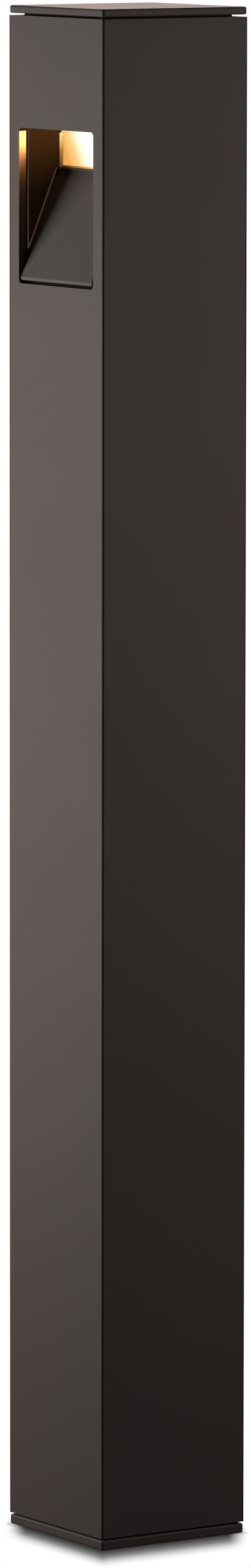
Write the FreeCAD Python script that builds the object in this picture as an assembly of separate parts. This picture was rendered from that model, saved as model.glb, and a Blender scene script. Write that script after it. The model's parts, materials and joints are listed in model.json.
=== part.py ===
"""Square bollard light: a dark bronze post with a recessed, downward-sloping light window near its top.

Units are millimetres. +Z is up, the ground is z = 0 and the window faces -Y. The origin is the middle of
the base plate's underside. "Depth" is the distance behind the post's window face.
"""
import FreeCAD, Part
import math
import os

V = FreeCAD.Vector
X_AXIS = V(1, 0, 0)
Y_AXIS = V(0, 1, 0)
Z_AXIS = V(0, 0, 1)

# ---- driving dimensions: post, base and cap ----
SIDE = 120.0
TUBE_WALL = 6.0
TUBE_LENGTH = 1064.0
TUBE_CORNER_R = 0.6
TUBE_BORE_CORNER_R = 2.0
BASE_THICKNESS = 7.0
BASE_GAP = 1.3
CAP_GAP = 1.5
CAP_THICKNESS = 5.5
PLATE_CORNER_R = 2.0
PLATE_EDGE_R = 1.4
FIT_GAP = 0.3

# ---- driving dimensions: window and recess ----
WINDOW_WIDTH = 95.0
WINDOW_HEIGHT = 108.8
WINDOW_DROP = 78.2
WINDOW_CORNER_R = 3.0
GASKET_THICKNESS = 0.8
SHEET = 1.8
HOUSING_HALF_WIDTH = 46.2
HOUSING_BACK_DEPTH = 43.8
HOUSING_FLANGE = 51.8
SHIELD_HALF_WIDTH = 45.8
SHIELD_SHEET = 1.2
SHIELD_LIFT = 2.1
LIP_DEPTH = 0.3
LIP_HEIGHT = 2.4
RAMP_RISE = 76.0
RAMP_SLOPE = 0.42
FOLD_R = 1.1
EDGE_PROUD = 2.4
MOUTH_EASE = 0.6
EDGE_EASE = 0.45

# ---- driving dimensions: optics ----
LENS_HALF_WIDTH = 40.2
LENS_DEPTH = 31.8
LENS_THICKNESS = 3.0
LENS_HEIGHT = 33.0
FRAME_HALF_WIDTH = 44.9
SEAL_WIDTH = 1.3
BOARD_THICKNESS = 1.6
CHIP_SIZE = 3.0
CHIP_HEIGHT = 0.7
CHIP_ROWS = 2
CHIP_COLUMNS = 6

# ---- driving dimensions: anchor base, cap plug and fasteners ----
SPIGOT_WIDTH = 107.0
SPIGOT_HEIGHT = 64.0
SPIGOT_WALL = 8.0
ANCHOR_SPACING = 66.0
ANCHOR_HOLE_R = 5.5
CABLE_HOLE_R = 20.0
PLUG_WIDTH = 105.4
PLUG_DEPTH = 22.0
PLUG_WALL = 9.0
SEAL_R = 1.1
M4_R = 2.0
M5_R = 2.5
M6_R = 3.0

# ---- driving dimensions: control gear ----
TRAY_WIDTH = 62.0
TRAY_BOTTOM = 560.0
TRAY_TOP = 830.0
TRAY_SHEET = 2.0
TRAY_STANDOFF = 6.0
DRIVER_WIDTH = 40.0
DRIVER_DEPTH = 28.0
DRIVER_LENGTH = 160.0
LEAD_R = 2.0
WIRE_R = 1.3

# ---- places worked out from the driving dimensions ----
HALF = SIDE / 2
BORE_HALF = HALF - TUBE_WALL
TUBE_BOTTOM = BASE_THICKNESS + BASE_GAP
TUBE_TOP = TUBE_BOTTOM + TUBE_LENGTH
CAP_BOTTOM = TUBE_TOP + CAP_GAP
WINDOW_TOP = TUBE_TOP - WINDOW_DROP
WINDOW_BOTTOM = WINDOW_TOP - WINDOW_HEIGHT
FLANGE_DEPTH = TUBE_WALL + GASKET_THICKNESS
FLOOR_TOP = WINDOW_BOTTOM + SHIELD_LIFT
KNEE_Z = FLOOR_TOP + LIP_HEIGHT
RAMP_TOP = KNEE_Z + RAMP_RISE
RAMP_TOP_DEPTH = LIP_DEPTH + RAMP_SLOPE * RAMP_RISE
LENS_BOTTOM = RAMP_TOP + 1.5
LENS_TOP = LENS_BOTTOM + LENS_HEIGHT
CEILING = LENS_TOP + 7.0
FLANGE_BOTTOM = WINDOW_BOTTOM - 14.0
FLANGE_TOP = CEILING + 14.0
STUD_ROWS = (WINDOW_BOTTOM - 8.0, CEILING + 8.0)
STUD_X = 40.0
CONNECTOR_Z = 955.0


def at_depth(depth):
    """The y of a plane this far behind the window face."""
    return depth - HALF


def block(x0, x1, y0, y1, z0, z1):
    return Part.makeBox(x1 - x0, y1 - y0, z1 - z0, V(x0, y0, z0))


def edges_along(shape, direction):
    """Straight edges of a shape that run along an axis."""
    picked = []
    for edge in shape.Edges:
        run = edge.Vertexes[-1].Point - edge.Vertexes[0].Point
        if run.Length > 1e-6 and run.cross(direction).Length < 1e-6 * run.Length:
            picked.append(edge)
    return picked


def rounded_block(x0, x1, y0, y1, z0, z1, radius, axis=Z_AXIS):
    """A box whose four edges along one axis are rounded."""
    box = block(x0, x1, y0, y1, z0, z1)
    return box.makeFillet(radius, edges_along(box, axis))


def square_block(half, z0, z1, radius):
    """A box centred on the post's axis with rounded upright corners."""
    return rounded_block(-half, half, -half, half, z0, z1, radius)


def rod(start, axis, radius, length):
    return Part.makeCylinder(radius, length, start, axis)


def drill(shape, holes):
    for hole in holes:
        shape = shape.cut(hole)
    return shape


def soften(shape, radius, wanted):
    """Fillets the edges that wanted(edge) picks."""
    return shape.makeFillet(radius, [edge for edge in shape.Edges if wanted(edge)])


def pan_screw(seat, axis, shank_r, shank_length):
    """A pan-head screw with a hex socket: seat is under the head, and the shank goes along axis."""
    head_r = 1.9 * shank_r
    head_h = 1.3 * shank_r
    head = rod(seat - axis * head_h, axis, head_r, head_h)
    head = soften(head, 0.45 * head_h, lambda e: e.Curve.TypeId == "Part::GeomCircle"
                  and (e.Curve.Center - seat).Length > 0.5 * head_h)
    screw = head.fuse(rod(seat, axis, shank_r, shank_length)).removeSplitter()
    return screw.cut(hex_prism(seat - axis * head_h, axis, 1.1 * shank_r, 0.7 * head_h))


def countersunk_screw(face, axis, shank_r, shank_length):
    """A flat-head screw: face is the centre of its flush head, and the shank goes along axis."""
    head_r = 1.9 * shank_r
    head_h = head_r - shank_r
    head = Part.makeCone(head_r, shank_r, head_h, face, axis)
    screw = head.fuse(rod(face + axis * head_h, axis, shank_r, shank_length - head_h)).removeSplitter()
    return screw.cut(hex_prism(face, axis, 0.8 * shank_r, 0.6 * head_h))


def grub_screw(face, axis, radius, length):
    """A headless screw with a hex socket in the end that lies at face."""
    body = rod(face, axis, radius, length)
    return body.cut(hex_prism(face, axis, 0.55 * radius, 0.4 * length))


def hex_prism(start, axis, apothem, height):
    """A hexagon on a plane through start, extruded along axis."""
    side = Z_AXIS if abs(axis.z) < 0.5 else X_AXIS
    other = axis.cross(side)
    corner_r = apothem / math.cos(math.pi / 6)
    corners = [start + side * (corner_r * math.cos(k * math.pi / 3))
               + other * (corner_r * math.sin(k * math.pi / 3)) for k in range(6)]
    return Part.Face(Part.makePolygon(corners + corners[:1])).extrude(axis * height)


def nut(start, axis, bore_r, apothem, height):
    return hex_prism(start, axis, apothem, height).cut(rod(start, axis, bore_r, height))


def prism_across(points, half_width):
    """A solid across the post from its side outline, whose points are (depth, z)."""
    outline = [V(-half_width, at_depth(depth), z) for depth, z in points]
    return Part.Face(Part.makePolygon(outline + outline[:1])).extrude(X_AXIS * (2 * half_width))


def square_grid(spacing):
    """The four (x, y) corners of a square pattern."""
    return [(sx * spacing / 2, sy * spacing / 2) for sx in (-1, 1) for sy in (-1, 1)]


def group(solids):
    return Part.makeCompound(solids)


# ---- anchor base ----
SPIGOT_SCREW_XY = square_grid(SPIGOT_WIDTH - SPIGOT_WALL - 9.0)
SPIGOT_LUG = 20.0
POST_SCREW_Z = TUBE_BOTTOM + 38.0
POST_SCREW_X = 32.0
POST_SCREW_LENGTH = TUBE_WALL + (BORE_HALF - SPIGOT_WIDTH / 2) - 0.05


def base_plate():
    """Cast plate the size of the post, with its rim edges rolled over."""
    plate = square_block(HALF, 0, BASE_THICKNESS, PLATE_CORNER_R)
    rim_planes = (0, BASE_THICKNESS)
    plate = soften(plate, PLATE_EDGE_R, lambda e: min(
        abs(e.BoundBox.ZMin - z) + abs(e.BoundBox.ZMax - z) for z in rim_planes) < 1e-6)
    holes = [rod(V(0, 0, -1), Z_AXIS, CABLE_HOLE_R, BASE_THICKNESS + 2)]
    holes += [rod(V(x, y, -1), Z_AXIS, ANCHOR_HOLE_R, BASE_THICKNESS + 2)
              for x, y in square_grid(ANCHOR_SPACING)]
    for x, y in SPIGOT_SCREW_XY:
        head_r = 1.9 * M5_R + 0.2
        holes.append(rod(V(x, y, -1), Z_AXIS, M5_R + 0.2, BASE_THICKNESS + 2))
        holes.append(Part.makeCone(head_r, M5_R, head_r - M5_R, V(x, y, 0.4), Z_AXIS))
        holes.append(rod(V(x, y, -1), Z_AXIS, head_r, 1.4))
    return drill(plate, holes)


def base_gasket():
    """Flat ring that carries the tube and leaves the shadow gap above the plate."""
    ring = square_block(HALF - 3.2, BASE_THICKNESS, TUBE_BOTTOM, 3.0)
    opening = square_block(SPIGOT_WIDTH / 2, 0, TUBE_BOTTOM + 1, 3.0)
    return ring.cut(opening)


def anchor_spigot():
    """Square sleeve that stands inside the post, with a threaded lug in each corner."""
    half = SPIGOT_WIDTH / 2
    top = BASE_THICKNESS + SPIGOT_HEIGHT
    outer = square_block(half, BASE_THICKNESS, top, 3.0)
    outer = soften(outer, 1.5, lambda e: abs(e.BoundBox.ZMin - top) < 1e-6)
    inner = square_block(half - SPIGOT_WALL, 0, top + 1, 6.0)
    sleeve = outer.cut(inner)
    lug_top = BASE_THICKNESS + SPIGOT_LUG
    corner = half - SPIGOT_WALL
    for x, y in SPIGOT_SCREW_XY:
        x0, x1 = sorted((math.copysign(corner + 1, x), math.copysign(corner - 12.0, x)))
        y0, y1 = sorted((math.copysign(corner + 1, y), math.copysign(corner - 12.0, y)))
        sleeve = sleeve.fuse(block(x0, x1, y0, y1, BASE_THICKNESS, lug_top))
    sleeve = sleeve.removeSplitter()
    holes = [rod(V(x, y, 0), Z_AXIS, M5_R + 0.02, BASE_THICKNESS + 16.0) for x, y in SPIGOT_SCREW_XY]
    holes += [rod(V(x, y, 0), Z_AXIS, ANCHOR_HOLE_R + 6.0, top + 1) for x, y in square_grid(ANCHOR_SPACING)]
    return drill(sleeve, holes)


def spigot_screws():
    return group([countersunk_screw(V(x, y, 0.6), Z_AXIS, M5_R, 19.0) for x, y in SPIGOT_SCREW_XY])


# ---- post ----
CAP_SCREW_Z = TUBE_TOP - 12.0
CAP_SCREW_X = 32.0
CAP_SCREW_LENGTH = TUBE_WALL + (BORE_HALF - PLUG_WIDTH / 2) - 0.05
TRAY_SCREW_Z = (TRAY_BOTTOM + 20.0, TRAY_TOP - 20.0)


def rear_grub_places():
    """Centres of the threaded holes through the rear wall: post clamps low down, cap clamps at the top."""
    low = [(x, POST_SCREW_Z) for x in (-POST_SCREW_X, POST_SCREW_X)]
    high = [(x, CAP_SCREW_Z) for x in (-CAP_SCREW_X, CAP_SCREW_X)]
    return low, high


def post_tube():
    """Square tube with a rounded rectangular window cut in its front wall."""
    outer = square_block(HALF, TUBE_BOTTOM, TUBE_TOP, TUBE_CORNER_R)
    bore = square_block(BORE_HALF, TUBE_BOTTOM - 1, TUBE_TOP + 1, TUBE_BORE_CORNER_R)
    window = rounded_block(-WINDOW_WIDTH / 2, WINDOW_WIDTH / 2, -HALF - 1, at_depth(TUBE_WALL + 1),
                           WINDOW_BOTTOM, WINDOW_TOP, WINDOW_CORNER_R, Y_AXIS)
    low, high = rear_grub_places()
    holes = [window]
    holes += [rod(V(x, BORE_HALF - 1, z), Y_AXIS, M6_R + 0.02, TUBE_WALL + 2) for x, z in low + high]
    for z in TRAY_SCREW_Z:
        holes.append(rod(V(0, BORE_HALF - 1, z), Y_AXIS, M5_R + 0.2, TUBE_WALL + 2))
        holes.append(Part.makeCone(2 * M5_R, M5_R, M5_R, V(0, HALF, z), -Y_AXIS))
    return drill(outer.cut(bore), holes)


def post_grub_screws():
    """Headless screws from behind that clamp the post on the spigot."""
    low = rear_grub_places()[0]
    return group([grub_screw(V(x, HALF - 0.4, z), -Y_AXIS, M6_R, POST_SCREW_LENGTH - 0.4) for x, z in low])


def cap_grub_screws():
    """Headless screws from behind that clamp the cap's plug."""
    high = rear_grub_places()[1]
    return group([grub_screw(V(x, HALF - 0.4, z), -Y_AXIS, M6_R, CAP_SCREW_LENGTH - 0.4) for x, z in high])


# ---- cap ----
CAP_FIXING_XY = square_grid(PLUG_WIDTH - PLUG_WALL - 12.0)


def top_cap():
    plate = square_block(HALF, CAP_BOTTOM, CAP_BOTTOM + CAP_THICKNESS, PLATE_CORNER_R)
    rim_planes = (CAP_BOTTOM, CAP_BOTTOM + CAP_THICKNESS)
    plate = soften(plate, PLATE_EDGE_R, lambda e: min(
        abs(e.BoundBox.ZMin - z) + abs(e.BoundBox.ZMax - z) for z in rim_planes) < 1e-6)
    return drill(plate, [rod(V(x, y, CAP_BOTTOM - 1), Z_AXIS, M4_R + 0.02, 4.4) for x, y in CAP_FIXING_XY])


def cap_plug():
    """Square tray under the cap: it drops into the tube, closes it and holds the cap above the tube's end."""
    half = PLUG_WIDTH / 2
    bottom = TUBE_TOP - PLUG_DEPTH
    ring = square_block(half, bottom, CAP_BOTTOM, 1.8)
    ring = ring.cut(square_block(half - PLUG_WALL, bottom + 5.0, CAP_BOTTOM + 1, 4.0))
    for x, y in CAP_FIXING_XY:
        ring = ring.fuse(rod(V(x, y, bottom + 1), Z_AXIS, 7.0, CAP_BOTTOM - bottom - 1))
    ring = ring.removeSplitter()
    groove = square_block(half + 1, PLUG_SEAL_Z - SEAL_R, PLUG_SEAL_Z + SEAL_R, 1.8)
    groove = groove.cut(square_block(half - SEAL_R, PLUG_SEAL_Z - 2, PLUG_SEAL_Z + 2, 3.0))
    holes = [groove]
    for x, y in CAP_FIXING_XY:
        holes.append(rod(V(x, y, bottom - 1), Z_AXIS, M4_R + 0.2, CAP_BOTTOM - bottom + 2))
        holes.append(rod(V(x, y, bottom - 1), Z_AXIS, 1.9 * M4_R + 0.3, 4.0))
    return drill(ring, holes)


PLUG_SEAL_Z = TUBE_TOP - 4.5


def cap_seal():
    """Square-section rubber ring in the plug's groove."""
    half = PLUG_WIDTH / 2
    z0 = PLUG_SEAL_Z - SEAL_R
    z1 = PLUG_SEAL_Z + SEAL_R
    ring = square_block(BORE_HALF - FIT_GAP, z0, z1, 2.0)
    return ring.cut(square_block(half - SEAL_R, z0 - 1, z1 + 1, 3.0))


def cap_screws():
    """Four screws up through the plug into the cap, so none shows from above."""
    seat_z = TUBE_TOP - PLUG_DEPTH + 3.0
    return group([pan_screw(V(x, y, seat_z), Z_AXIS, M4_R, CAP_BOTTOM + 3.2 - seat_z)
                  for x, y in CAP_FIXING_XY])


# ---- window recess ----
def recess_ring(depth0, depth1, x_out, z_low, z_high, hole):
    """A flat rectangular ring around the recess, behind the tube's front wall."""
    ring = rounded_block(-x_out, x_out, at_depth(depth0), at_depth(depth1), z_low, z_high, 3.0, Y_AXIS)
    return ring.cut(hole)


def stud_holes(radius, depth0, depth1):
    return [rod(V(sx * STUD_X, at_depth(depth0), z), Y_AXIS, radius, depth1 - depth0)
            for sx in (-1, 1) for z in STUD_ROWS]


def window_gasket():
    hole = block(-WINDOW_WIDTH / 2 - 1.5, WINDOW_WIDTH / 2 + 1.5, at_depth(0), at_depth(20),
                 WINDOW_BOTTOM - 1.5, CEILING + 2.0)
    ring = recess_ring(TUBE_WALL, FLANGE_DEPTH, HOUSING_FLANGE, FLANGE_BOTTOM, FLANGE_TOP, hole)
    return drill(ring, stud_holes(M5_R + 0.3, TUBE_WALL - 1, FLANGE_DEPTH + 1))


def optic_housing():
    """Folded box behind the window: floor, two cheeks, ceiling and back, with a flange round its mouth."""
    inner = block(-HOUSING_HALF_WIDTH, HOUSING_HALF_WIDTH, at_depth(0), at_depth(HOUSING_BACK_DEPTH),
                  FLOOR_TOP, CEILING)
    outer = block(-HOUSING_HALF_WIDTH - SHEET, HOUSING_HALF_WIDTH + SHEET, at_depth(FLANGE_DEPTH),
                  at_depth(HOUSING_BACK_DEPTH + SHEET), FLOOR_TOP - SHEET, CEILING + SHEET)
    flange = recess_ring(FLANGE_DEPTH, FLANGE_DEPTH + SHEET, HOUSING_FLANGE, FLANGE_BOTTOM, FLANGE_TOP, inner)
    shell = outer.fuse(flange).removeSplitter().cut(inner)

    def on_mouth(edge):
        """The two upright edges where the flange turns into the cheeks."""
        bounds = edge.BoundBox
        return (abs(bounds.YMin - at_depth(FLANGE_DEPTH)) + abs(bounds.YMax - at_depth(FLANGE_DEPTH)) < 1e-6
                and abs(abs(bounds.Center.x) - HOUSING_HALF_WIDTH) + bounds.XLength < 1e-6)
    shell = soften(shell, MOUTH_EASE, on_mouth)
    holes = stud_holes(M5_R + 0.3, FLANGE_DEPTH - 1, FLANGE_DEPTH + SHEET + 1)
    holes += [rod(V(x, at_depth(HOUSING_BACK_DEPTH - 1), z), Y_AXIS, M4_R + 0.2, SHEET + 2)
              for x, z in SINK_SCREWS]
    holes += [rod(V(x, SHIELD_SCREW_Y, FLOOR_TOP - SHEET - 1), Z_AXIS, M4_R + 0.2, SHEET + 2)
              for x in SHIELD_SCREW_X]
    holes.append(connector_slot(0.6))
    return drill(shell, holes)


SHIELD_SCREW_X = (-28.0, 28.0)
SHIELD_SCREW_Y = at_depth(20.0)
SHIELD_FOOT_DEPTH = 28.0


def ramp_z(depth):
    """Height of the sloping face at a depth."""
    return KNEE_Z + (depth - LIP_DEPTH) / RAMP_SLOPE


def raised_edges():
    """Upstand along the shield's two sides, behind the tube's wall, and along its top."""
    clear_half = SHIELD_HALF_WIDTH - SHIELD_SHEET
    front_z = ramp_z(FLANGE_DEPTH)
    outline = [
        (FLANGE_DEPTH, front_z),
        (FLANGE_DEPTH, front_z + EDGE_PROUD / RAMP_SLOPE),
        (RAMP_TOP_DEPTH - EDGE_PROUD, RAMP_TOP),
        (RAMP_TOP_DEPTH, RAMP_TOP),
    ]
    solid = prism_across(outline, SHIELD_HALF_WIDTH)
    inside = prism_across([
        (FLANGE_DEPTH - 1, front_z - 1 / RAMP_SLOPE),
        (FLANGE_DEPTH - 1, RAMP_TOP - SHIELD_SHEET),
        (RAMP_TOP_DEPTH - RAMP_SLOPE * SHIELD_SHEET, RAMP_TOP - SHIELD_SHEET),
    ], clear_half)
    solid = solid.cut(inside)
    slope = V(0, RAMP_SLOPE, 1).normalize()
    crest = V(0, at_depth(FLANGE_DEPTH), front_z + EDGE_PROUD / RAMP_SLOPE)

    def on_crest(edge):
        """Long edges of the upstand's outer face, and the ones across its top."""
        middle = (edge.Vertexes[0].Point + edge.Vertexes[-1].Point) / 2
        offset = V(0, middle.y, middle.z) - crest
        return abs(offset.cross(slope).x) < 0.02 and edge.Length > 4
    return soften(solid, EDGE_EASE, on_crest)


def glare_shield():
    """One folded tray: front lip, sloping face with a raised edge on three sides, and a foot underneath."""
    back_step = SHIELD_SHEET * math.hypot(1, RAMP_SLOPE)
    inner_knee_z = KNEE_Z - (back_step - SHIELD_SHEET) / RAMP_SLOPE
    foot_top = FLOOR_TOP + SHIELD_SHEET
    sheet = prism_across([
        (LIP_DEPTH, FLOOR_TOP),
        (LIP_DEPTH, KNEE_Z),
        (RAMP_TOP_DEPTH, RAMP_TOP),
        (RAMP_TOP_DEPTH + back_step, RAMP_TOP),
        (LIP_DEPTH + SHIELD_SHEET, inner_knee_z),
        (LIP_DEPTH + SHIELD_SHEET, foot_top),
        (SHIELD_FOOT_DEPTH, foot_top),
        (SHIELD_FOOT_DEPTH, FLOOR_TOP),
    ], SHIELD_HALF_WIDTH)
    sheet = soften(sheet, FOLD_R, lambda e: abs(e.BoundBox.YMax - at_depth(LIP_DEPTH)) < 1e-6
                   and e.Length > SHIELD_HALF_WIDTH)
    tray = sheet.fuse(raised_edges()).removeSplitter()
    outline = rounded_block(-SHIELD_HALF_WIDTH, SHIELD_HALF_WIDTH, -HALF, HALF, FLOOR_TOP,
                            RAMP_TOP + 20, WINDOW_CORNER_R - 0.4, Y_AXIS)
    tray = tray.common(outline)
    return drill(tray, [rod(V(x, SHIELD_SCREW_Y, FLOOR_TOP - 1), Z_AXIS, M4_R + 0.02, SHIELD_SHEET + 2)
                        for x in SHIELD_SCREW_X])


def shield_screws():
    """Screws from under the housing floor into the shield's foot."""
    seat_z = FLOOR_TOP - SHEET
    return group([pan_screw(V(x, SHIELD_SCREW_Y, seat_z), Z_AXIS, M4_R, 8.0) for x in SHIELD_SCREW_X])


def clamp_bars():
    """Flat bars across the housing flange, one above and one below the window."""
    depth0 = FLANGE_DEPTH + SHEET
    bars = [rounded_block(-48, 48, at_depth(depth0), at_depth(depth0 + 3.0), z - 4.5, z + 4.5, 2.0, Y_AXIS)
            for z in STUD_ROWS]
    holes = stud_holes(M5_R + 0.3, depth0 - 1, depth0 + 5)
    return group([drill(bar, holes) for bar in bars])


def weld_studs():
    return group(stud_holes(M5_R, TUBE_WALL, FLANGE_DEPTH + SHEET + 3.0 + 9.0))


def stud_nuts():
    depth0 = FLANGE_DEPTH + SHEET + 3.0
    return group([nut(V(sx * STUD_X, at_depth(depth0), z), Y_AXIS, M5_R + 0.02, 4.0, 4.5)
                  for sx in (-1, 1) for z in STUD_ROWS])


# ---- light source ----
FRAME_BOTTOM = LENS_BOTTOM - SEAL_WIDTH
FRAME_TOP = LENS_TOP + SEAL_WIDTH + 3.4
BOX_BOTTOM = LENS_BOTTOM - 4.7
BOARD_DEPTH = HOUSING_BACK_DEPTH - 0.4 - BOARD_THICKNESS
BOARD_BOTTOM = CONNECTOR_Z - 8.0
BOARD_TOP = FRAME_TOP - 1.0
SINK_HALF_WIDTH = 38.0
SINK_BASE = 4.0
SINK_DEPTH = 24.0
SINK_FINS = 9
SINK_FIN_THICKNESS = 2.0
SINK_BOTTOM = CONNECTOR_Z + 9.0
SINK_SCREWS = [(sx * 32.0, z) for sx in (-1, 1) for z in (SINK_BOTTOM + 6.0, BOARD_TOP - 5.0)]
FRAME_SCREWS = [(sx * x, z) for sx in (-1, 1) for x, z in ((43.2, LENS_TOP - 9.0), (30.0, FRAME_TOP - 1.7))]
BOX_FRONT = LENS_DEPTH + LENS_THICKNESS + 0.2


def connector_slot(clearance):
    return block(-9 - clearance, 9 + clearance, at_depth(BOARD_DEPTH - 1), at_depth(HOUSING_BACK_DEPTH + 4),
                 CONNECTOR_Z - 4 - clearance, CONNECTOR_Z + 4 + clearance)


def lens_outline(grow, depth0, depth1):
    return block(-LENS_HALF_WIDTH - grow, LENS_HALF_WIDTH + grow, at_depth(depth0), at_depth(depth1),
                 LENS_BOTTOM - grow, LENS_TOP + grow)


def diffuser_lens():
    """Opal moulding: a raised, round-edged pad on a thinner border that sits behind the frame."""
    pad = lens_outline(0, LENS_DEPTH, LENS_DEPTH + LENS_THICKNESS)
    pad = soften(pad, 0.8, lambda e: abs(e.BoundBox.YMax - at_depth(LENS_DEPTH)) < 1e-6)
    border = lens_outline(1.2, LENS_DEPTH + 2.0, LENS_DEPTH + LENS_THICKNESS)
    return pad.fuse(border).removeSplitter()


def lens_seal():
    """Black silicone ring that fills the joint between lens and frame."""
    ring = lens_outline(SEAL_WIDTH - 0.05, LENS_DEPTH + 1.0, LENS_DEPTH + 1.9)
    return ring.cut(lens_outline(0.05, LENS_DEPTH - 1, LENS_DEPTH + 4))


def lens_frame():
    """Flat pressed frame on the lens's two sides and top; the shield's upper edge covers its bottom."""
    front = LENS_DEPTH + 0.2
    ring = block(-FRAME_HALF_WIDTH, FRAME_HALF_WIDTH, at_depth(front), at_depth(front + 1.7),
                 FRAME_BOTTOM, FRAME_TOP)
    ring = soften(ring, 0.5, lambda e: abs(e.BoundBox.YMax - at_depth(front)) < 1e-6)
    ring = ring.cut(block(-LENS_HALF_WIDTH - SEAL_WIDTH, LENS_HALF_WIDTH + SEAL_WIDTH, at_depth(front - 1),
                          at_depth(front + 3), FRAME_BOTTOM - 1, LENS_TOP + SEAL_WIDTH))
    return drill(ring, [rod(V(x, at_depth(front - 1), z), Y_AXIS, 1.35, 5) for x, z in FRAME_SCREWS])


def frame_screws():
    """Small screws in the frame's upper half, out of sight above the window's top edge."""
    front = LENS_DEPTH + 0.2
    return group([rod(V(x, at_depth(front - 0.9), z), Y_AXIS, 1.6, 0.9).fuse(
        rod(V(x, at_depth(front), z), Y_AXIS, 1.25, 7.0)).removeSplitter() for x, z in FRAME_SCREWS])


def mixing_box():
    """White frame between the lens and the board that evens out the light."""
    outer = block(-FRAME_HALF_WIDTH, FRAME_HALF_WIDTH, at_depth(BOX_FRONT), at_depth(BOARD_DEPTH - 0.1),
                  BOX_BOTTOM, FRAME_TOP)
    front = lens_outline(-1.0, BOX_FRONT - 1, BOARD_DEPTH + 1)
    holes = [rod(V(x, at_depth(BOX_FRONT - 1), z), Y_AXIS, 1.28, 7.5) for x, z in FRAME_SCREWS]
    return drill(outer.cut(front), holes)


def led_board():
    board = rounded_block(-42, 42, at_depth(BOARD_DEPTH), at_depth(BOARD_DEPTH + BOARD_THICKNESS),
                          BOARD_BOTTOM, BOARD_TOP, 1.0, Y_AXIS)
    return drill(board, [rod(V(x, at_depth(BOARD_DEPTH - 1), z), Y_AXIS, M4_R + 0.2, 4)
                         for x, z in SINK_SCREWS])


def led_chips():
    """Rows of square light-emitting packages facing the lens."""
    middle = (LENS_BOTTOM + LENS_TOP) / 2
    pitch_x = 2 * LENS_HALF_WIDTH / (CHIP_COLUMNS + 1)
    pitch_z = LENS_HEIGHT / (CHIP_ROWS + 1)
    chips = []
    for column in range(CHIP_COLUMNS):
        for row in range(CHIP_ROWS):
            x = (column - (CHIP_COLUMNS - 1) / 2) * pitch_x
            z = middle + (row - (CHIP_ROWS - 1) / 2) * pitch_z
            chips.append(block(x - CHIP_SIZE / 2, x + CHIP_SIZE / 2, at_depth(BOARD_DEPTH - CHIP_HEIGHT),
                               at_depth(BOARD_DEPTH), z - CHIP_SIZE / 2, z + CHIP_SIZE / 2))
    return group(chips)


def board_connector():
    """Plug on the back of the board, through the housing's back wall."""
    return block(-9, 9, at_depth(BOARD_DEPTH + BOARD_THICKNESS), at_depth(HOUSING_BACK_DEPTH + SHEET + 9.0),
                 CONNECTOR_Z - 4, CONNECTOR_Z + 4)


def thermal_pad():
    pad = block(-40, 40, at_depth(HOUSING_BACK_DEPTH - 0.4), at_depth(HOUSING_BACK_DEPTH),
                SINK_BOTTOM, BOARD_TOP)
    return drill(pad, [rod(V(x, at_depth(HOUSING_BACK_DEPTH - 2), z), Y_AXIS, M4_R + 0.3, 4)
                       for x, z in SINK_SCREWS])


def heat_sink():
    """Extruded finned block behind the housing."""
    front = HOUSING_BACK_DEPTH + SHEET
    sink = block(-SINK_HALF_WIDTH, SINK_HALF_WIDTH, at_depth(front), at_depth(front + SINK_BASE),
                 SINK_BOTTOM, BOARD_TOP)
    pitch = (2 * SINK_HALF_WIDTH - SINK_FIN_THICKNESS) / (SINK_FINS - 1)
    for fin in range(SINK_FINS):
        x = -SINK_HALF_WIDTH + fin * pitch
        sink = sink.fuse(block(x, x + SINK_FIN_THICKNESS, at_depth(front + SINK_BASE),
                               at_depth(front + SINK_DEPTH), SINK_BOTTOM, BOARD_TOP))
    sink = sink.removeSplitter()
    return drill(sink, [rod(V(x, at_depth(front - 1), z), Y_AXIS, M4_R + 0.02, SINK_BASE + 2)
                        for x, z in SINK_SCREWS])


def sink_screws():
    """Screws through the housing's back wall into the heat sink."""
    seat = HOUSING_BACK_DEPTH
    return group([rod(V(x, at_depth(seat), z), Y_AXIS, M4_R, SHEET + SINK_BASE) for x, z in SINK_SCREWS])


# ---- control gear ----
TRAY_FRONT = BORE_HALF - TRAY_STANDOFF - TRAY_SHEET
DRIVER_BOTTOM = TRAY_BOTTOM + 74.0
TERMINAL_Z = TRAY_BOTTOM + 40.0
TERMINAL_HEIGHT = 14.0
CLAMP_Z = TRAY_BOTTOM + 8.0
EARTH_Z = TERMINAL_Z
EARTH_Y = 24.0
DRIVER_SCREW_Z = (DRIVER_BOTTOM + 5.0, DRIVER_BOTTOM + DRIVER_LENGTH - 5.0)


def gear_tray():
    """Sheet tray with folded side edges, hung on the rear wall."""
    half = TRAY_WIDTH / 2
    back = block(-half, half, TRAY_FRONT, TRAY_FRONT + TRAY_SHEET, TRAY_BOTTOM, TRAY_TOP)
    for side in (-1, 1):
        x0, x1 = sorted((side * half, side * (half - TRAY_SHEET)))
        back = back.fuse(block(x0, x1, TRAY_FRONT - 8.0, TRAY_FRONT, TRAY_BOTTOM, TRAY_TOP))
    tray = back.removeSplitter()
    holes = [rod(V(0, TRAY_FRONT - 1, z), Y_AXIS, M5_R + 0.3, TRAY_SHEET + 2) for z in TRAY_SCREW_Z]
    holes += [rod(V(0, TRAY_FRONT - 1, z), Y_AXIS, M4_R + 0.02, TRAY_SHEET + 2) for z in DRIVER_SCREW_Z]
    return drill(tray, holes)


def tray_spacers():
    start = TRAY_FRONT + TRAY_SHEET
    return group([rod(V(0, start, z), Y_AXIS, 7.0, TRAY_STANDOFF).cut(
        rod(V(0, start - 1, z), Y_AXIS, M5_R + 0.2, TRAY_STANDOFF + 2)) for z in TRAY_SCREW_Z])


def tray_screws():
    """Flush security screws in the post's rear face."""
    length = TUBE_WALL + TRAY_STANDOFF + TRAY_SHEET + 7.0
    return group([countersunk_screw(V(0, HALF - 0.2, z), -Y_AXIS, M5_R, length) for z in TRAY_SCREW_Z])


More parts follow.
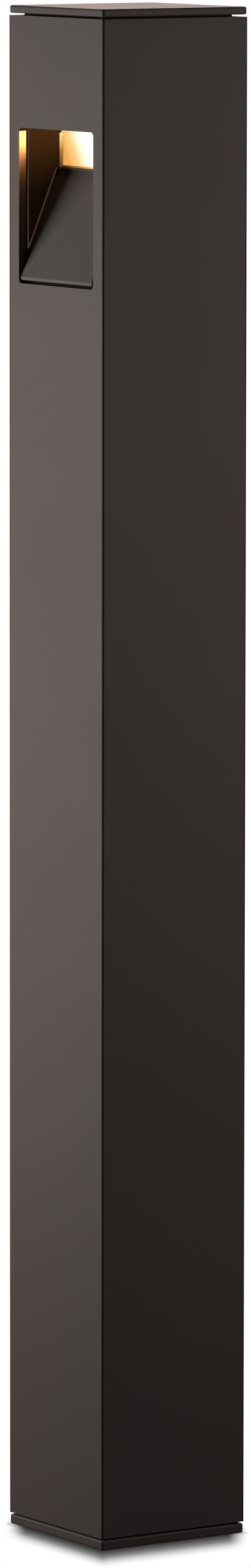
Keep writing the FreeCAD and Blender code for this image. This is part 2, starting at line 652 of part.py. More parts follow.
def tray_nuts():
    return group([nut(V(0, TRAY_FRONT, z), -Y_AXIS, M5_R + 0.02, 4.0, 4.5) for z in TRAY_SCREW_Z])


def led_driver():
    """Potted driver: a rounded case on two end tabs."""
    half = DRIVER_WIDTH / 2
    case = rounded_block(-half, half, TRAY_FRONT - DRIVER_DEPTH, TRAY_FRONT, DRIVER_BOTTOM + 10,
                         DRIVER_BOTTOM + DRIVER_LENGTH - 10, 3.0)
    tabs = block(-half + 6, half - 6, TRAY_FRONT - 2.5, TRAY_FRONT,
                 DRIVER_BOTTOM, DRIVER_BOTTOM + DRIVER_LENGTH)
    driver = case.fuse(tabs).removeSplitter()
    return drill(driver, [rod(V(0, TRAY_FRONT - 4, z), Y_AXIS, M4_R + 0.2, 6) for z in DRIVER_SCREW_Z])


def driver_screws():
    return group([pan_screw(V(0, TRAY_FRONT - 2.5, z), Y_AXIS, M4_R, 5.5) for z in DRIVER_SCREW_Z])


def terminal_block():
    """Three-way block with a row of screw wells."""
    body = block(-18, 18, TRAY_FRONT - 18, TRAY_FRONT,
                 TERMINAL_Z - TERMINAL_HEIGHT, TERMINAL_Z + TERMINAL_HEIGHT)
    body = soften(body, 1.0, lambda e: abs(e.BoundBox.YMax - (TRAY_FRONT - 18)) < 1e-6)
    wells = [rod(V(way * 12.0, TRAY_FRONT - 19, TERMINAL_Z + dz), Y_AXIS, 2.4, 8)
             for way in (-1, 0, 1) for dz in (-8.0, 8.0)]
    return drill(body, wells)


def terminal_screws():
    return group([rod(V(way * 12.0, TRAY_FRONT - 15, TERMINAL_Z + dz), Y_AXIS, 2.3, 4)
                  for way in (-1, 0, 1) for dz in (-8.0, 8.0)])


def cable_clamp():
    """Saddle at the foot of the tray for the supply cable."""
    saddle = rounded_block(-14, 14, TRAY_FRONT - 16, TRAY_FRONT, CLAMP_Z - 5, CLAMP_Z + 5, 4.0)
    return saddle.cut(rod(V(0, TRAY_FRONT - 8, CLAMP_Z - 6), Z_AXIS, 5.0, 12))


def input_wires():
    """Three short wires from the terminal block up to the driver."""
    length = DRIVER_BOTTOM + 10 - (TERMINAL_Z + TERMINAL_HEIGHT)
    return group([rod(V(way * 12.0, TRAY_FRONT - 12, TERMINAL_Z + TERMINAL_HEIGHT), Z_AXIS, WIRE_R, length)
                  for way in (-1, 0, 1)])


def earth_stud():
    """Welded stud on the left wall of the tube."""
    return rod(V(-BORE_HALF, EARTH_Y, EARTH_Z), X_AXIS, M5_R, 14.0)


def earth_lug():
    """Ring tongue on the stud, with a barrel that points at the terminal block."""
    start = V(-BORE_HALF, EARTH_Y, EARTH_Z)
    ring = rod(start, X_AXIS, 5.5, 1.2)
    arm = block(-BORE_HALF, -BORE_HALF + 1.2, EARTH_Y + 2, EARTH_Y + 9, EARTH_Z - 2.5, EARTH_Z + 2.5)
    foot = block(-BORE_HALF, -BORE_HALF + 10, EARTH_Y + 8, EARTH_Y + 12, EARTH_Z - 2.5, EARTH_Z + 2.5)
    return ring.fuse(arm).fuse(foot).removeSplitter().cut(rod(start, X_AXIS, M5_R + 0.2, 3))


def earth_nut():
    return nut(V(-BORE_HALF + 1.2, EARTH_Y, EARTH_Z), X_AXIS, M5_R + 0.02, 4.0, 4.5)


def earth_wire():
    start = V(-BORE_HALF + 10, EARTH_Y + 10, EARTH_Z)
    return rod(start, X_AXIS, WIRE_R, -18.0 - start.x)


# The lead leaves the connector backwards, drops behind the housing and enters the driver's upper end.
LEAD_START_Y = at_depth(HOUSING_BACK_DEPTH + SHEET + 9.0)
DRIVER_ENTRY = V(0, TRAY_FRONT - DRIVER_DEPTH / 2, DRIVER_BOTTOM + DRIVER_LENGTH - 10)
LEAD_ROUTE = [
    V(0, LEAD_START_Y, CONNECTOR_Z),
    V(0, LEAD_START_Y + 22, CONNECTOR_Z),
    V(3, LEAD_START_Y + 36, CONNECTOR_Z - 24),
    V(7, LEAD_START_Y + 42, CONNECTOR_Z - 60),
    V(3, DRIVER_ENTRY.y + 4, DRIVER_ENTRY.z + 72),
    V(0, DRIVER_ENTRY.y, DRIVER_ENTRY.z + 34),
    DRIVER_ENTRY,
]
ARC_SHARE = 0.45


def lead_path(points):
    """Straight runs joined by tangent arcs as large as the two runs allow; prints each arc's radius."""
    edges = []
    last = points[0]
    for before, corner, after in zip(points, points[1:], points[2:]):
        toward = (before - corner).normalize()
        away = (after - corner).normalize()
        setback = ARC_SHARE * min((before - corner).Length, (after - corner).Length)
        half_turn = (math.pi - toward.getAngle(away)) / 2
        radius = setback / math.tan(half_turn)
        bisector = (toward + away).normalize()
        middle = corner + bisector * (radius / math.cos(half_turn) - radius)
        start = corner + toward * setback
        end = corner + away * setback
        edges.append(Part.LineSegment(last, start).toShape())
        edges.append(Part.Arc(start, middle, end).toShape())
        print("lead arc radius %.1f" % radius)
        last = end
    edges.append(Part.LineSegment(last, points[-1]).toShape())
    return Part.Wire(edges)


def led_lead():
    """Low-voltage lead between the driver and the board, held inside the post all the way."""
    path = lead_path(LEAD_ROUTE)
    direction = (LEAD_ROUTE[1] - LEAD_ROUTE[0]).normalize()
    section = Part.Wire([Part.makeCircle(LEAD_R, LEAD_ROUTE[0], direction)])
    tube = path.makePipeShell([section], True, True)
    volume_ratio = tube.Volume / (math.pi * LEAD_R ** 2 * path.Length)
    print("lead length %.1f volume ratio %.4f" % (path.Length, volume_ratio))
    return tube


SUB_PARTS = [
    base_plate, base_gasket, anchor_spigot, spigot_screws,
    post_tube, post_grub_screws, cap_grub_screws,
    top_cap, cap_plug, cap_seal, cap_screws,
    window_gasket, optic_housing, glare_shield, shield_screws, clamp_bars, weld_studs, stud_nuts,
    diffuser_lens, lens_seal, lens_frame, frame_screws, mixing_box,
    led_board, led_chips, board_connector, thermal_pad, heat_sink, sink_screws,
    gear_tray, tray_spacers, tray_screws, tray_nuts, led_driver, driver_screws,
    terminal_block, terminal_screws, cable_clamp, input_wires,
    earth_stud, earth_lug, earth_nut, earth_wire, led_lead,
]

os.makedirs("parts", exist_ok=True)
for make in SUB_PARTS:
    shape = make()
    if not shape.isValid():
        raise RuntimeError(make.__name__ + " is not a valid shape")
    shape.exportStep("parts/%s.step" % make.__name__)
    print("%-18s solids %d volume %.0f" % (make.__name__, len(shape.Solids), shape.Volume))
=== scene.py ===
import json
import math

import bpy
from mathutils import Matrix, Vector


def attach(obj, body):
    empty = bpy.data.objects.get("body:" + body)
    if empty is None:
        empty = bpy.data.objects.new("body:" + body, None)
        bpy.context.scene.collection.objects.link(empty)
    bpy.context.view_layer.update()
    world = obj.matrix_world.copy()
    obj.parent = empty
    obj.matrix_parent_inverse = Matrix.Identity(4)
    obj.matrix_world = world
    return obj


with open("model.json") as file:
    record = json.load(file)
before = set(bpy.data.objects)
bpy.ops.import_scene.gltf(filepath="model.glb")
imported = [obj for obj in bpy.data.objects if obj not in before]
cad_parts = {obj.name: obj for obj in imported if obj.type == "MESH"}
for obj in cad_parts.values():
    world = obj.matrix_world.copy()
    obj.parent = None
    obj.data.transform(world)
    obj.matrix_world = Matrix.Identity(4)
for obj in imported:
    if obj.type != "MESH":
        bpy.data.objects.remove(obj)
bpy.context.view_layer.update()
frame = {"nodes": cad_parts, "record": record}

# A square bollard light. Metres; the base plate's underside is at z = 0 and the window faces -Y.

nodes = frame["nodes"]
scene = bpy.context.scene
scene.view_settings.view_transform = "Standard"
scene.view_settings.look = "None"

MM = 0.001
HALF = 60 * MM
FRONT_Y = -HALF
YAW, PITCH, ROLL = math.radians(56.6319), math.radians(6.59015), math.radians(0.0576945)

# Places and limits for the materials and lights that depend on place. They repeat the CAD's places,
# and some stand a little off the piece that they are for.
WINDOW_Z = 939.7 * MM
WINDOW_REACH_X, WINDOW_REACH_Z = 50 * MM, 58 * MM
WINDOW_REACH_BACK_Y = -50 * MM
SILL_LIMIT_Z = WINDOW_Z - 53.6 * MM
CHEEK_EDGE_X, CHEEK_EDGE_Y = 46.5 * MM, FRONT_Y + 7.0 * MM
CHEEK_LINE_START_Z, CHEEK_LINE_FULL_Z = 908 * MM, 911 * MM
SHIELD_KNEE_Z, SHIELD_LIP_DEPTH, SHIELD_SLOPE = 889.8 * MM, 0.3 * MM, 0.42
SHIELD_SIDE_X = 44.3 * MM
LIT_END_X = 42 * MM
LIT_LOW_Z, LIT_HIGH_Z = 967 * MM, 988 * MM
SEAL_LOW_RUN_Z = 967.6 * MM
LAMP_Z = 988 * MM

SATIN_IOR = 1.5
# Colour of the painted highlight, a faint emission, on thin arrises.
ARRIS_PAINTED_HIGHLIGHT = (0.052, 0.034, 0.026, 1)
FLOOR_HALF, FLOOR_Z = 30.0, -0.2 * MM
# Reach and fade of the contact shadow painted on the floor.
SHADOW_REACH = 66 * MM
SHADOW_FADE = [(0.0, 0.05), (0.17, 0.114), (0.345, 0.254), (0.6, 0.70), (0.78, 0.93), (0.9, 1.0)]


# ---------------------------------------------------------------- materials

class Tree:
    """A material's node tree, with short ways to add and join nodes."""

    def __init__(self, name):
        self.material = bpy.data.materials.new(name)
        self.material.use_nodes = True
        self.tree = self.material.node_tree
        self.tree.nodes.clear()
        self.output = self.add("ShaderNodeOutputMaterial")
        self.place = self.add("ShaderNodeTexCoord").outputs["Object"]

    def add(self, kind, **settings):
        node = self.tree.nodes.new(kind)
        for key, value in settings.items():
            setattr(node, key, value)
        return node

    def join(self, source, target):
        self.tree.links.new(source, target)

    def set(self, socket, value):
        if isinstance(value, bpy.types.NodeSocket):
            self.join(value, socket)
        else:
            socket.default_value = value

    def noise(self, scale, detail=3.0, rough=0.55, stretch=(1, 1, 1)):
        """Noise from 0 to 1 in the piece's own coordinates; scale is features per metre."""
        mapping = self.add("ShaderNodeMapping")
        mapping.inputs["Scale"].default_value = stretch
        self.join(self.place, mapping.inputs["Vector"])
        noise = self.add("ShaderNodeTexNoise")
        self.join(mapping.outputs["Vector"], noise.inputs["Vector"])
        noise.inputs["Scale"].default_value = scale
        noise.inputs["Detail"].default_value = detail
        noise.inputs["Roughness"].default_value = rough
        return noise.outputs[0]

    def remap(self, value, low, high, to_low, to_high, smooth=False):
        node = self.add("ShaderNodeMapRange", interpolation_type="SMOOTHSTEP" if smooth else "LINEAR")
        for socket, v in zip(node.inputs[:5], (value, low, high, to_low, to_high)):
            self.set(socket, v)
        return node.outputs[0]

    def math(self, operation, a, b=0.0):
        node = self.add("ShaderNodeMath", operation=operation)
        self.set(node.inputs[0], a)
        self.set(node.inputs[1], b)
        return node.outputs[0]

    def mix(self, factor, a, b):
        node = self.add("ShaderNodeMix", data_type="RGBA")
        self.set(node.inputs[0], factor)
        self.set(node.inputs[6], a)
        self.set(node.inputs[7], b)
        return node.outputs[2]

    def ramp(self, value, stops):
        node = self.add("ShaderNodeValToRGB")
        elements = node.color_ramp.elements
        while len(elements) > 1:
            elements.remove(elements[-1])
        elements[0].position, elements[0].color = stops[0][0], (*stops[0][1], 1)
        for position, colour in stops[1:]:
            elements.new(position).color = (*colour, 1)
        self.join(value, node.inputs[0])
        return node.outputs[0]

    def axis(self, index):
        node = self.add("ShaderNodeSeparateXYZ")
        self.join(self.place, node.inputs[0])
        return node.outputs[index]

    def bump(self, height, strength, distance, normal=None):
        node = self.add("ShaderNodeBump")
        node.inputs["Strength"].default_value = strength
        node.inputs["Distance"].default_value = distance
        self.join(height, node.inputs["Height"])
        if normal is not None:
            self.join(normal, node.inputs["Normal"])
        return node.outputs[0]

    def shader(self, colour, rough, normal, metallic=0.0, specular=0.5):
        node = self.add("ShaderNodeBsdfPrincipled")
        self.set(node.inputs["Base Color"], colour)
        self.set(node.inputs["Roughness"], rough)
        self.set(node.inputs["Normal"], normal)
        node.inputs["Metallic"].default_value = metallic
        node.inputs["IOR"].default_value = SATIN_IOR
        node.inputs["Specular IOR Level"].default_value = specular
        self.join(node.outputs[0], self.output.inputs["Surface"])
        return node


def rgba(colour, gain=1.0):
    return (*[c * gain for c in colour], 1.0)


def surface(name, colour, rough, spread=0.12, metallic=0.0, grain=900.0, relief=0.25, depth=0.05,
            stretch=(1, 1, 1), blotch=9.0):
    """A finish with slow blotches, fine grain in colour and roughness, and a fine relief. depth is in mm."""
    t = Tree(name)
    slow = t.noise(blotch, 4.0, 0.6)
    fine = t.noise(grain, 2.0, 0.5, stretch)
    tone = t.math("ADD", t.math("MULTIPLY", slow, 0.6), t.math("MULTIPLY", fine, 0.4))
    tint = t.remap(tone, 0.3, 0.7, 0.0, 1.0)
    paint = t.mix(tint, rgba(colour, 1 - spread), rgba(colour, 1 + spread))
    gloss = t.remap(t.math("ADD", t.math("MULTIPLY", slow, 0.5), t.math("MULTIPLY", fine, 0.5)), 0.3, 0.7,
                    rough - 0.05, rough + 0.06)
    t.shader(paint, gloss, t.bump(fine, relief, depth * MM), metallic)
    return t.material


def powder_coat(name, colour, rough, spread=0.05, relief=0.22, specular=0.5, cut_rough=None, edge=None,
                lines=None):
    """Satin powder coat with fine orange peel and faint slow clouds.
    cut_rough is the roughness on the window's cut edges, for the post's own coat. With it the sill under the
    window gets painted shade, near black, and the long arrises get painted shade, darker and rougher.
    edge is (distance from the middle plane, colour beyond it) for a piece whose two sides get painted shade.
    lines(tree) gives 0 to 1 where a painted highlight, a faint emission, stands for a thin arris catching the
    studio light."""
    t = Tree(name)
    cloud = t.noise(5.0, 5.0, 0.62)
    grain = t.noise(1500.0, 2.0, 0.5)
    peel = t.noise(420.0, 2.0, 0.45)
    streak = t.noise(60.0, 3.0, 0.5, (1, 1, 0.05))
    tone = t.math("ADD", t.math("MULTIPLY", cloud, 0.45),
                  t.math("ADD", t.math("MULTIPLY", grain, 0.4), t.math("MULTIPLY", streak, 0.15)))
    tint = t.remap(tone, 0.3, 0.7, 0.0, 1.0)
    paint = t.mix(tint, rgba(colour, 1 - spread), rgba(colour, 1 + spread))
    gloss = t.remap(t.math("ADD", t.math("MULTIPLY", cloud, 0.6), t.math("MULTIPLY", grain, 0.4)), 0.3, 0.7,
                    rough - 0.035, rough + 0.045)
    if cut_rough is not None:
        off_x, off_y = t.math("ABSOLUTE", t.axis(0)), t.math("ABSOLUTE", t.axis(1))
        behind = t.remap(t.axis(1), FRONT_Y + 0.15 * MM, FRONT_Y + 0.9 * MM, 0.0, 1.0, True)
        front = t.math("MULTIPLY", behind, t.math("LESS_THAN", t.axis(1), WINDOW_REACH_BACK_Y))
        off_z = t.math("ABSOLUTE", t.math("SUBTRACT", t.axis(2), WINDOW_Z))
        level = t.math("LESS_THAN", off_z, WINDOW_REACH_Z)
        near = t.math("LESS_THAN", off_x, WINDOW_REACH_X)
        inside = t.math("MULTIPLY", t.math("MULTIPLY", front, level), near)
        gloss = t.remap(inside, 0.0, 1.0, gloss, cut_rough)
        # Painted shade: the window's sill, below the shield's lip, is painted near black.
        sill = t.math("MULTIPLY", inside, t.math("LESS_THAN", t.axis(2), SILL_LIMIT_Z))
        paint = t.mix(t.math("MULTIPLY", sill, 0.8), paint, (0.004, 0.004, 0.004, 1))
        gloss = t.remap(sill, 0.0, 1.0, gloss, 0.85)
        # Painted shade: the post's long vertical arrises are painted darker, a tenth of the coat's colour.
        corner = t.math("ADD", off_x, off_y)
        arris = t.remap(corner, 2 * HALF - 1.5 * MM, 2 * HALF - 0.9 * MM, 0.0, 0.9, True)
        paint = t.mix(arris, paint, rgba(colour, 0.1))
        gloss = t.remap(arris, 0.0, 1.0, gloss, 0.8)
    if edge is not None:
        # Painted shade: beyond edge[0] from the middle plane the piece is painted in the darker colour.
        beyond = t.remap(t.math("ABSOLUTE", t.axis(0)), edge[0] - 0.15 * MM, edge[0] + 0.15 * MM, 0.0, 1.0)
        paint = t.mix(beyond, paint, rgba(edge[1]))
    # Painted highlight: a faint emission along the thin arrises that lines(tree) marks.
    if lines is not None:
        painted_arris_highlight = t.mix(lines(t), (0, 0, 0, 1), ARRIS_PAINTED_HIGHLIGHT)
    normal = t.bump(grain, relief, 0.03 * MM, t.bump(peel, relief * 0.6, 0.06 * MM))
    coat = t.shader(paint, gloss, normal, specular=specular)
    if lines is not None:
        t.join(painted_arris_highlight, coat.inputs["Emission Color"])
        coat.inputs["Emission Strength"].default_value = 1.0
    return t.material


def cheek_highlight_mask(t):
    """Painted highlight mask: the rounded edges where the housing's flange turns into its cheeks, above the
    shield's raised sides.
    """
    behind = t.math("ABSOLUTE", t.math("SUBTRACT", t.axis(1), CHEEK_EDGE_Y))
    across = t.math("ABSOLUTE", t.math("SUBTRACT", t.math("ABSOLUTE", t.axis(0)), CHEEK_EDGE_X))
    line = t.math("MULTIPLY", t.remap(behind, 0.3 * MM, 0.5 * MM, 1.0, 0.0),
                  t.remap(across, 0.45 * MM, 0.6 * MM, 1.0, 0.0))
    return t.math("MULTIPLY", line, t.remap(t.axis(2), CHEEK_LINE_START_Z, CHEEK_LINE_FULL_Z, 0.0, 1.0))


def crest_highlight_mask(t):
    """Painted highlight mask: the crest of the shield's raised sides, 2.4 mm in front of its sloping face."""
    depth = t.math("SUBTRACT", t.axis(1), FRONT_Y)
    rise = t.math("SUBTRACT", t.axis(2), SHIELD_KNEE_Z)
    slope = t.math("ADD", t.math("MULTIPLY", rise, SHIELD_SLOPE), SHIELD_LIP_DEPTH)
    proud = t.math("SUBTRACT", slope, depth)
    across = t.math("ABSOLUTE", t.axis(0))
    return t.math("MULTIPLY", t.remap(proud, 1.7 * MM, 2.0 * MM, 0.0, 1.0),
                  t.remap(across, SHIELD_SIDE_X - 0.1 * MM, SHIELD_SIDE_X + 0.2 * MM, 0.0, 1.0))


def brushed(name, colour, rough, stretch, spread=0.14, grain=1100.0):
    """Metal with fine lines along the axis that stretch flattens."""
    return surface(name, colour, rough, spread, 1.0, grain, 0.18, 0.03, stretch, 14.0)


def lit_lens(name):
    """Opal sheet lit from behind: white in the middle, amber towards its ends, a little dimmer low down."""
    t = Tree(name)
    across = t.math("ABSOLUTE", t.axis(0))
    mottle = t.noise(70.0, 3.0, 0.5)
    wander = t.math("MULTIPLY", t.math("SUBTRACT", mottle, 0.5), 2.4 * MM)
    low = t.remap(t.axis(2), LIT_LOW_Z, LIT_HIGH_Z, 12 * MM, -4 * MM)
    reach = t.remap(t.math("ADD", t.math("ADD", across, wander), low), 0.0, LIT_END_X, 0.0, 1.0)
    glow = t.ramp(reach, [(0.0, (1.0, 1.0, 1.0)), (0.24, (1.0, 0.995, 0.97)), (0.357, (0.97, 0.95, 0.84)),
                          (0.476, (0.985, 0.86, 0.61)), (0.583, (0.985, 0.755, 0.41)),
                          (0.69, (0.972, 0.60, 0.24)), (0.905, (0.885, 0.46, 0.125)),
                          (1.0, (0.8, 0.38, 0.09))])
    sheet = t.shader(rgba((0.10, 0.09, 0.07)), t.remap(mottle, 0.3, 0.7, 0.32, 0.42),
                     t.bump(t.noise(500.0), 0.08, 0.03 * MM))
    t.join(glow, sheet.inputs["Emission Color"])
    sheet.inputs["Emission Strength"].default_value = 1.08
    return t.material


def painted_glow_frame(name, colour):
    """Cream paint round the lens, with a painted glow where the lens's light would come out past its edge:
    strong at the top, weak below.
    """
    t = Tree(name)
    mottle = t.noise(260.0, 3.0, 0.55)
    paint = t.mix(t.remap(mottle, 0.3, 0.7, 0.0, 1.0), rgba(colour, 0.9), rgba(colour, 1.08))
    height = t.math("ADD", t.axis(2), t.math("MULTIPLY", t.math("SUBTRACT", mottle, 0.5), 4 * MM))
    # Painted glow: emission on the cream paint, strong at the top near the lens, weak below.
    painted_spill = t.ramp(t.remap(height, LIT_LOW_Z - 3 * MM, LIT_HIGH_Z + 1 * MM, 0.0, 1.0),
                   [(0.0, (0.03, 0.012, 0.004)), (0.23, (0.20, 0.078, 0.014)), (0.5, (0.40, 0.157, 0.022)),
                    (0.92, (0.96, 0.63, 0.18)), (1.0, (0.98, 0.72, 0.28))])
    sheet = t.shader(paint, t.remap(mottle, 0.3, 0.7, 0.34, 0.44), t.bump(t.noise(900.0), 0.15, 0.03 * MM))
    t.join(painted_spill, sheet.inputs["Emission Color"])
    sheet.inputs["Emission Strength"].default_value = 1.0
    return t.material


def painted_glow_seal(name):
    """Black silicone with a painted glow along its bottom run, standing for the lens's light it would carry,
    strongest in the middle.
    """
    t = Tree(name)
    fine = t.noise(900.0, 2.0, 0.5)
    rubber = t.mix(t.remap(fine, 0.3, 0.7, 0.0, 1.0), (0.010, 0.010, 0.010, 1), (0.018, 0.017, 0.017, 1))
    # Painted glow: amber emission on the seal's bottom run, fading towards its ends.
    painted_leak = t.ramp(t.remap(t.math("ABSOLUTE", t.axis(0)), 0.0, LIT_END_X, 0.0, 1.0),
                  [(0.0, (1.0, 0.72, 0.24)), (0.2, (0.85, 0.45, 0.11)), (0.45, (0.46, 0.20, 0.06)),
                   (0.7, (0.30, 0.12, 0.035)), (0.85, (0.10, 0.04, 0.012)), (1.0, (0.012, 0.006, 0.003))])
    low = t.math("LESS_THAN", t.axis(2), SEAL_LOW_RUN_Z)
    sheet = t.shader(rubber, t.remap(fine, 0.3, 0.7, 0.5, 0.6), t.bump(fine, 0.2, 0.03 * MM))
    t.join(t.mix(low, (0, 0, 0, 1), painted_leak), sheet.inputs["Emission Color"])
    sheet.inputs["Emission Strength"].default_value = 1.0
    return t.material


BRONZE = (0.098, 0.083, 0.076)
finishes = {
    "bronze_coat": powder_coat("bronze_coat_fine", BRONZE, 0.56, specular=0.36, cut_rough=0.30),
    # The shield's coat: its two raised sides get painted shade and their crests a painted highlight.
    "dark_sheet": powder_coat("dark_sheet_fine", (0.160, 0.157, 0.156), 0.52, relief=0.16, specular=0.22,
                              edge=(SHIELD_SIDE_X, (0.014, 0.012, 0.011)), lines=crest_highlight_mask),
    "frame_sheet": painted_glow_frame("frame_sheet_painted_glow", (0.42, 0.33, 0.20)),
    "opal_lens": lit_lens("opal_lens_fine"),
    "black_rubber": surface("black_rubber_fine", (0.018, 0.018, 0.018), 0.72, 0.2, grain=1400.0, relief=0.4,
                            depth=0.08),
    "cast_aluminium": surface("cast_aluminium_fine", (0.52, 0.53, 0.54), 0.42, 0.1, 1.0, 700.0, 0.3, 0.08),
    "stainless_steel": brushed("stainless_steel_fine", (0.56, 0.55, 0.53), 0.28, (1, 1, 0.15)),
    "zinc_sheet": surface("zinc_sheet_fine", (0.58, 0.6, 0.62), 0.36, 0.16, 1.0, 160.0, 0.15, 0.03,
                          blotch=45.0),
    "white_plastic": surface("white_plastic_fine", (0.82, 0.82, 0.80), 0.42, 0.04, grain=600.0),
    "board_laminate": surface("board_laminate_fine", (0.86, 0.86, 0.84), 0.30, 0.05, grain=900.0,
                              relief=0.12),
    "led_phosphor": surface("led_phosphor_fine", (0.9, 0.66, 0.16), 0.5, 0.1, grain=2500.0, relief=0.3),
    "grey_pad": surface("grey_pad_fine", (0.42, 0.43, 0.45), 0.8, 0.1, grain=1500.0, relief=0.4, depth=0.08),
    "driver_case": surface("driver_case_fine", (0.72, 0.72, 0.70), 0.5, 0.05, grain=1100.0, relief=0.3),
    "terminal_plastic": surface("terminal_plastic_fine", (0.05, 0.05, 0.052), 0.45, 0.12, grain=1300.0),
    "tinned_brass": brushed("tinned_brass_fine", (0.66, 0.55, 0.30), 0.3, (0.2, 1, 1)),
    "wire_jacket": surface("wire_jacket_fine", (0.26, 0.27, 0.29), 0.48, 0.08, grain=800.0),
    "earth_jacket": surface("earth_jacket_fine", (0.22, 0.50, 0.10), 0.46, 0.14, grain=700.0),
}
# The housing's inner coat, with a painted highlight along its cheeks' front edges.
housing_coat = powder_coat("dark_sheet_inner", (0.062, 0.052, 0.046), 0.75, relief=0.16, specular=0.04,
                           lines=cheek_highlight_mask)
slot_of = {part["node"]: part["material_slot"] for part in frame["record"]["subparts"]}
for name, node in nodes.items():
    for place in node.material_slots:
        place.material = finishes[slot_of[name]]
for name in ("optic_housing", "cap_plug", "anchor_spigot"):
    for place in nodes[name].material_slots:
        place.material = housing_coat
for place in nodes["lens_seal"].material_slots:
    place.material = painted_glow_seal("lens_seal_painted_glow")
nodes["diffuser_lens"].visible_diffuse = False
nodes["diffuser_lens"].visible_glossy = False


# ---------------------------------------------------------------- floor, light and camera

def floor_material():
    """White to the camera with a painted soft contact shadow on one side of the plate and a painted dark rim
    round it. Dull to every other ray.
    """
    t = Tree("pale_floor")
    x, y = t.axis(0), t.axis(1)
    toward = (math.sin(YAW), -math.cos(YAW))
    from_side = t.math("DIVIDE", t.math("SUBTRACT", x, HALF), toward[0])
    from_front = t.math("DIVIDE", t.math("SUBTRACT", t.math("MULTIPLY", y, -1.0), HALF), -toward[1])
    reach = t.math("MAXIMUM", from_side, from_front)
    grain = t.math("MULTIPLY", t.math("SUBTRACT", t.noise(240.0), 0.5), 1.5 * MM)
    tone = t.ramp(t.remap(t.math("ADD", reach, grain), 0.0, SHADOW_REACH, 0.0, 1.0),
                  [(at, (grey, grey, grey)) for at, grey in SHADOW_FADE])
    sideways = t.math("ADD", t.math("MULTIPLY", x, -toward[1]), t.math("MULTIPLY", y, toward[0]))
    half_width = HALF * (toward[0] - toward[1])
    beside = t.remap(t.math("ABSOLUTE", sideways), half_width - 12 * MM, half_width + 4 * MM, 1.0, 0.0, True)
    near_side = t.math("GREATER_THAN", reach, -20.0 * MM)
    tone = t.mix(t.math("MULTIPLY", beside, near_side), (1, 1, 1, 1), tone)
    # Painted shade: a dark rim that fades out within 6 mm of the plate's outline, all round.
    off_x = t.math("MAXIMUM", t.math("SUBTRACT", t.math("ABSOLUTE", x), HALF), 0.0)
    off_y = t.math("MAXIMUM", t.math("SUBTRACT", t.math("ABSOLUTE", y), HALF), 0.0)
    contact = t.remap(t.math("ADD", off_x, off_y), 0.0, 6 * MM, 0.35, 0.0, True)
    tone = t.mix(contact, tone, (0.03, 0.03, 0.03, 1))
    seen = t.add("ShaderNodeEmission")
    t.join(tone, seen.inputs["Color"])
    dull = t.add("ShaderNodeBsdfDiffuse")
    dull.inputs["Color"].default_value = rgba((0.10, 0.10, 0.10))
    pick = t.add("ShaderNodeMixShader")
    t.join(t.add("ShaderNodeLightPath").outputs["Is Camera Ray"], pick.inputs[0])
    t.join(dull.outputs[0], pick.inputs[1])
    t.join(seen.outputs[0], pick.inputs[2])
    t.join(pick.outputs[0], t.output.inputs["Surface"])
    return t.material


def flat_square(name, half, z):
    mesh = bpy.data.meshes.new(name)
    corners = [(-half, -half, z), (half, -half, z), (half, half, z), (-half, half, z)]
    mesh.from_pydata(corners, [], [(0, 1, 2, 3)])
    made = bpy.data.objects.new(name, mesh)
    scene.collection.objects.link(made)
    return made


floor = flat_square("floor", FLOOR_HALF, FLOOR_Z)
floor.data.materials.append(floor_material())

world = bpy.data.worlds.new("studio")
scene.world = world
world.use_nodes = True
world.node_tree.nodes.clear()
w_out = world.node_tree.nodes.new("ShaderNodeOutputWorld")
w_path = world.node_tree.nodes.new("ShaderNodeLightPath")
w_mix = world.node_tree.nodes.new("ShaderNodeMixShader")
w_dim = world.node_tree.nodes.new("ShaderNodeBackground")
w_white = world.node_tree.nodes.new("ShaderNodeBackground")
w_dim.inputs["Color"].default_value = (1.0, 0.97, 0.95, 1)
w_dim.inputs["Strength"].default_value = 0.024
w_white.inputs["Color"].default_value = (1, 1, 1, 1)
world.node_tree.links.new(w_path.outputs["Is Camera Ray"], w_mix.inputs[0])
world.node_tree.links.new(w_dim.outputs[0], w_mix.inputs[1])
world.node_tree.links.new(w_white.outputs[0], w_mix.inputs[2])
world.node_tree.links.new(w_mix.outputs[0], w_out.inputs["Surface"])


def panel(name, at, towards, width, height, power, colour=(1, 1, 1)):
    """A soft rectangular light, not seen by the camera."""
    data = bpy.data.lights.new(name, "AREA")
    data.shape = "RECTANGLE"
    data.size, data.size_y = width, height
    data.energy = power
    data.color = colour
    lamp = bpy.data.objects.new(name, data)
    scene.collection.objects.link(lamp)
    lamp.location = at
    lamp.rotation_euler = (Vector(towards) - Vector(at)).to_track_quat("-Z", "Y").to_euler()
    lamp.visible_camera = False
    return lamp


def around(azimuth, distance, z):
    """A place round the post; azimuth 0 is in front of the window and 90 is on the +X side."""
    a = math.radians(azimuth)
    return (math.sin(a) * distance, -math.cos(a) * distance, z)


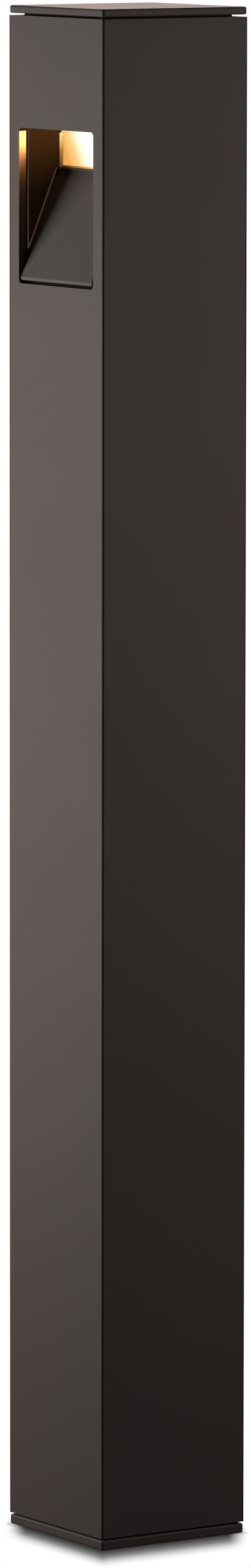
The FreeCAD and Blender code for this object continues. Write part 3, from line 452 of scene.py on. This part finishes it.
panel("key_left", around(-46, 1.15, 0.64), (0, 0, 0.62), 0.66, 1.0, 10.1, (1.0, 0.91, 0.87))
panel("fill_right", around(125, 1.25, 0.82), (0, 0, 0.76), 0.6, 0.7, 3.95, (1.0, 0.87, 0.87))
panel("back_left", around(-123.5, 3.2, 2.2), (0, 0, 1.08), 3.4, 2.4, 85.0, (1.0, 0.80, 0.72))

arris_strip = panel("arris_strip", around(8, 1.5, 0.95), (0, -0.06, 0.93), 0.10, 0.5, 0.8, (1.0, 0.86, 0.76))
arris_strip.visible_diffuse = False

# The glow is what the lens throws on the left cheek; the glint is its reflection in the window's cut edge.
GLOW_AT, GLOW_TO = (20 * MM, -30 * MM, LAMP_Z), (-60 * MM, -34 * MM, LAMP_Z + 12 * MM)
glow = panel("led_glow", GLOW_AT, GLOW_TO, 8 * MM, 10 * MM, 0.0066, (1.0, 0.46, 0.12))
glow.data.spread = math.radians(76)
glow.visible_glossy = False
GLINT_AT, GLINT_TO = (0, -28.9 * MM, LAMP_Z), (0, -1.0, LAMP_Z)
glint = panel("led_glint", GLINT_AT, GLINT_TO, 24 * MM, 20 * MM, 0.42, (1.0, 0.38, 0.09))
glint.visible_diffuse = False
for lamp in (glow, glint):
    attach(lamp, "post")

FOCAL_LENGTH, SENSOR = 209.235, 36.0
CAMERA_AT = (5.32663, -3.50945, 1.26963)
camera_data = bpy.data.cameras.new("camera")
camera_data.lens = FOCAL_LENGTH
camera_data.sensor_width = SENSOR
camera_data.clip_start, camera_data.clip_end = 0.1, 200.0
camera = bpy.data.objects.new("camera", camera_data)
scene.collection.objects.link(camera)
back = Vector((math.sin(YAW) * math.cos(PITCH), -math.cos(YAW) * math.cos(PITCH), math.sin(PITCH)))
right = Vector((math.cos(YAW), math.sin(YAW), 0))
up = back.cross(right)
side = right * math.cos(ROLL) + up * math.sin(ROLL)
top = up * math.cos(ROLL) - right * math.sin(ROLL)
camera.matrix_world = Matrix.Translation(CAMERA_AT) @ Matrix((side, top, back)).transposed().to_4x4()
scene.camera = camera
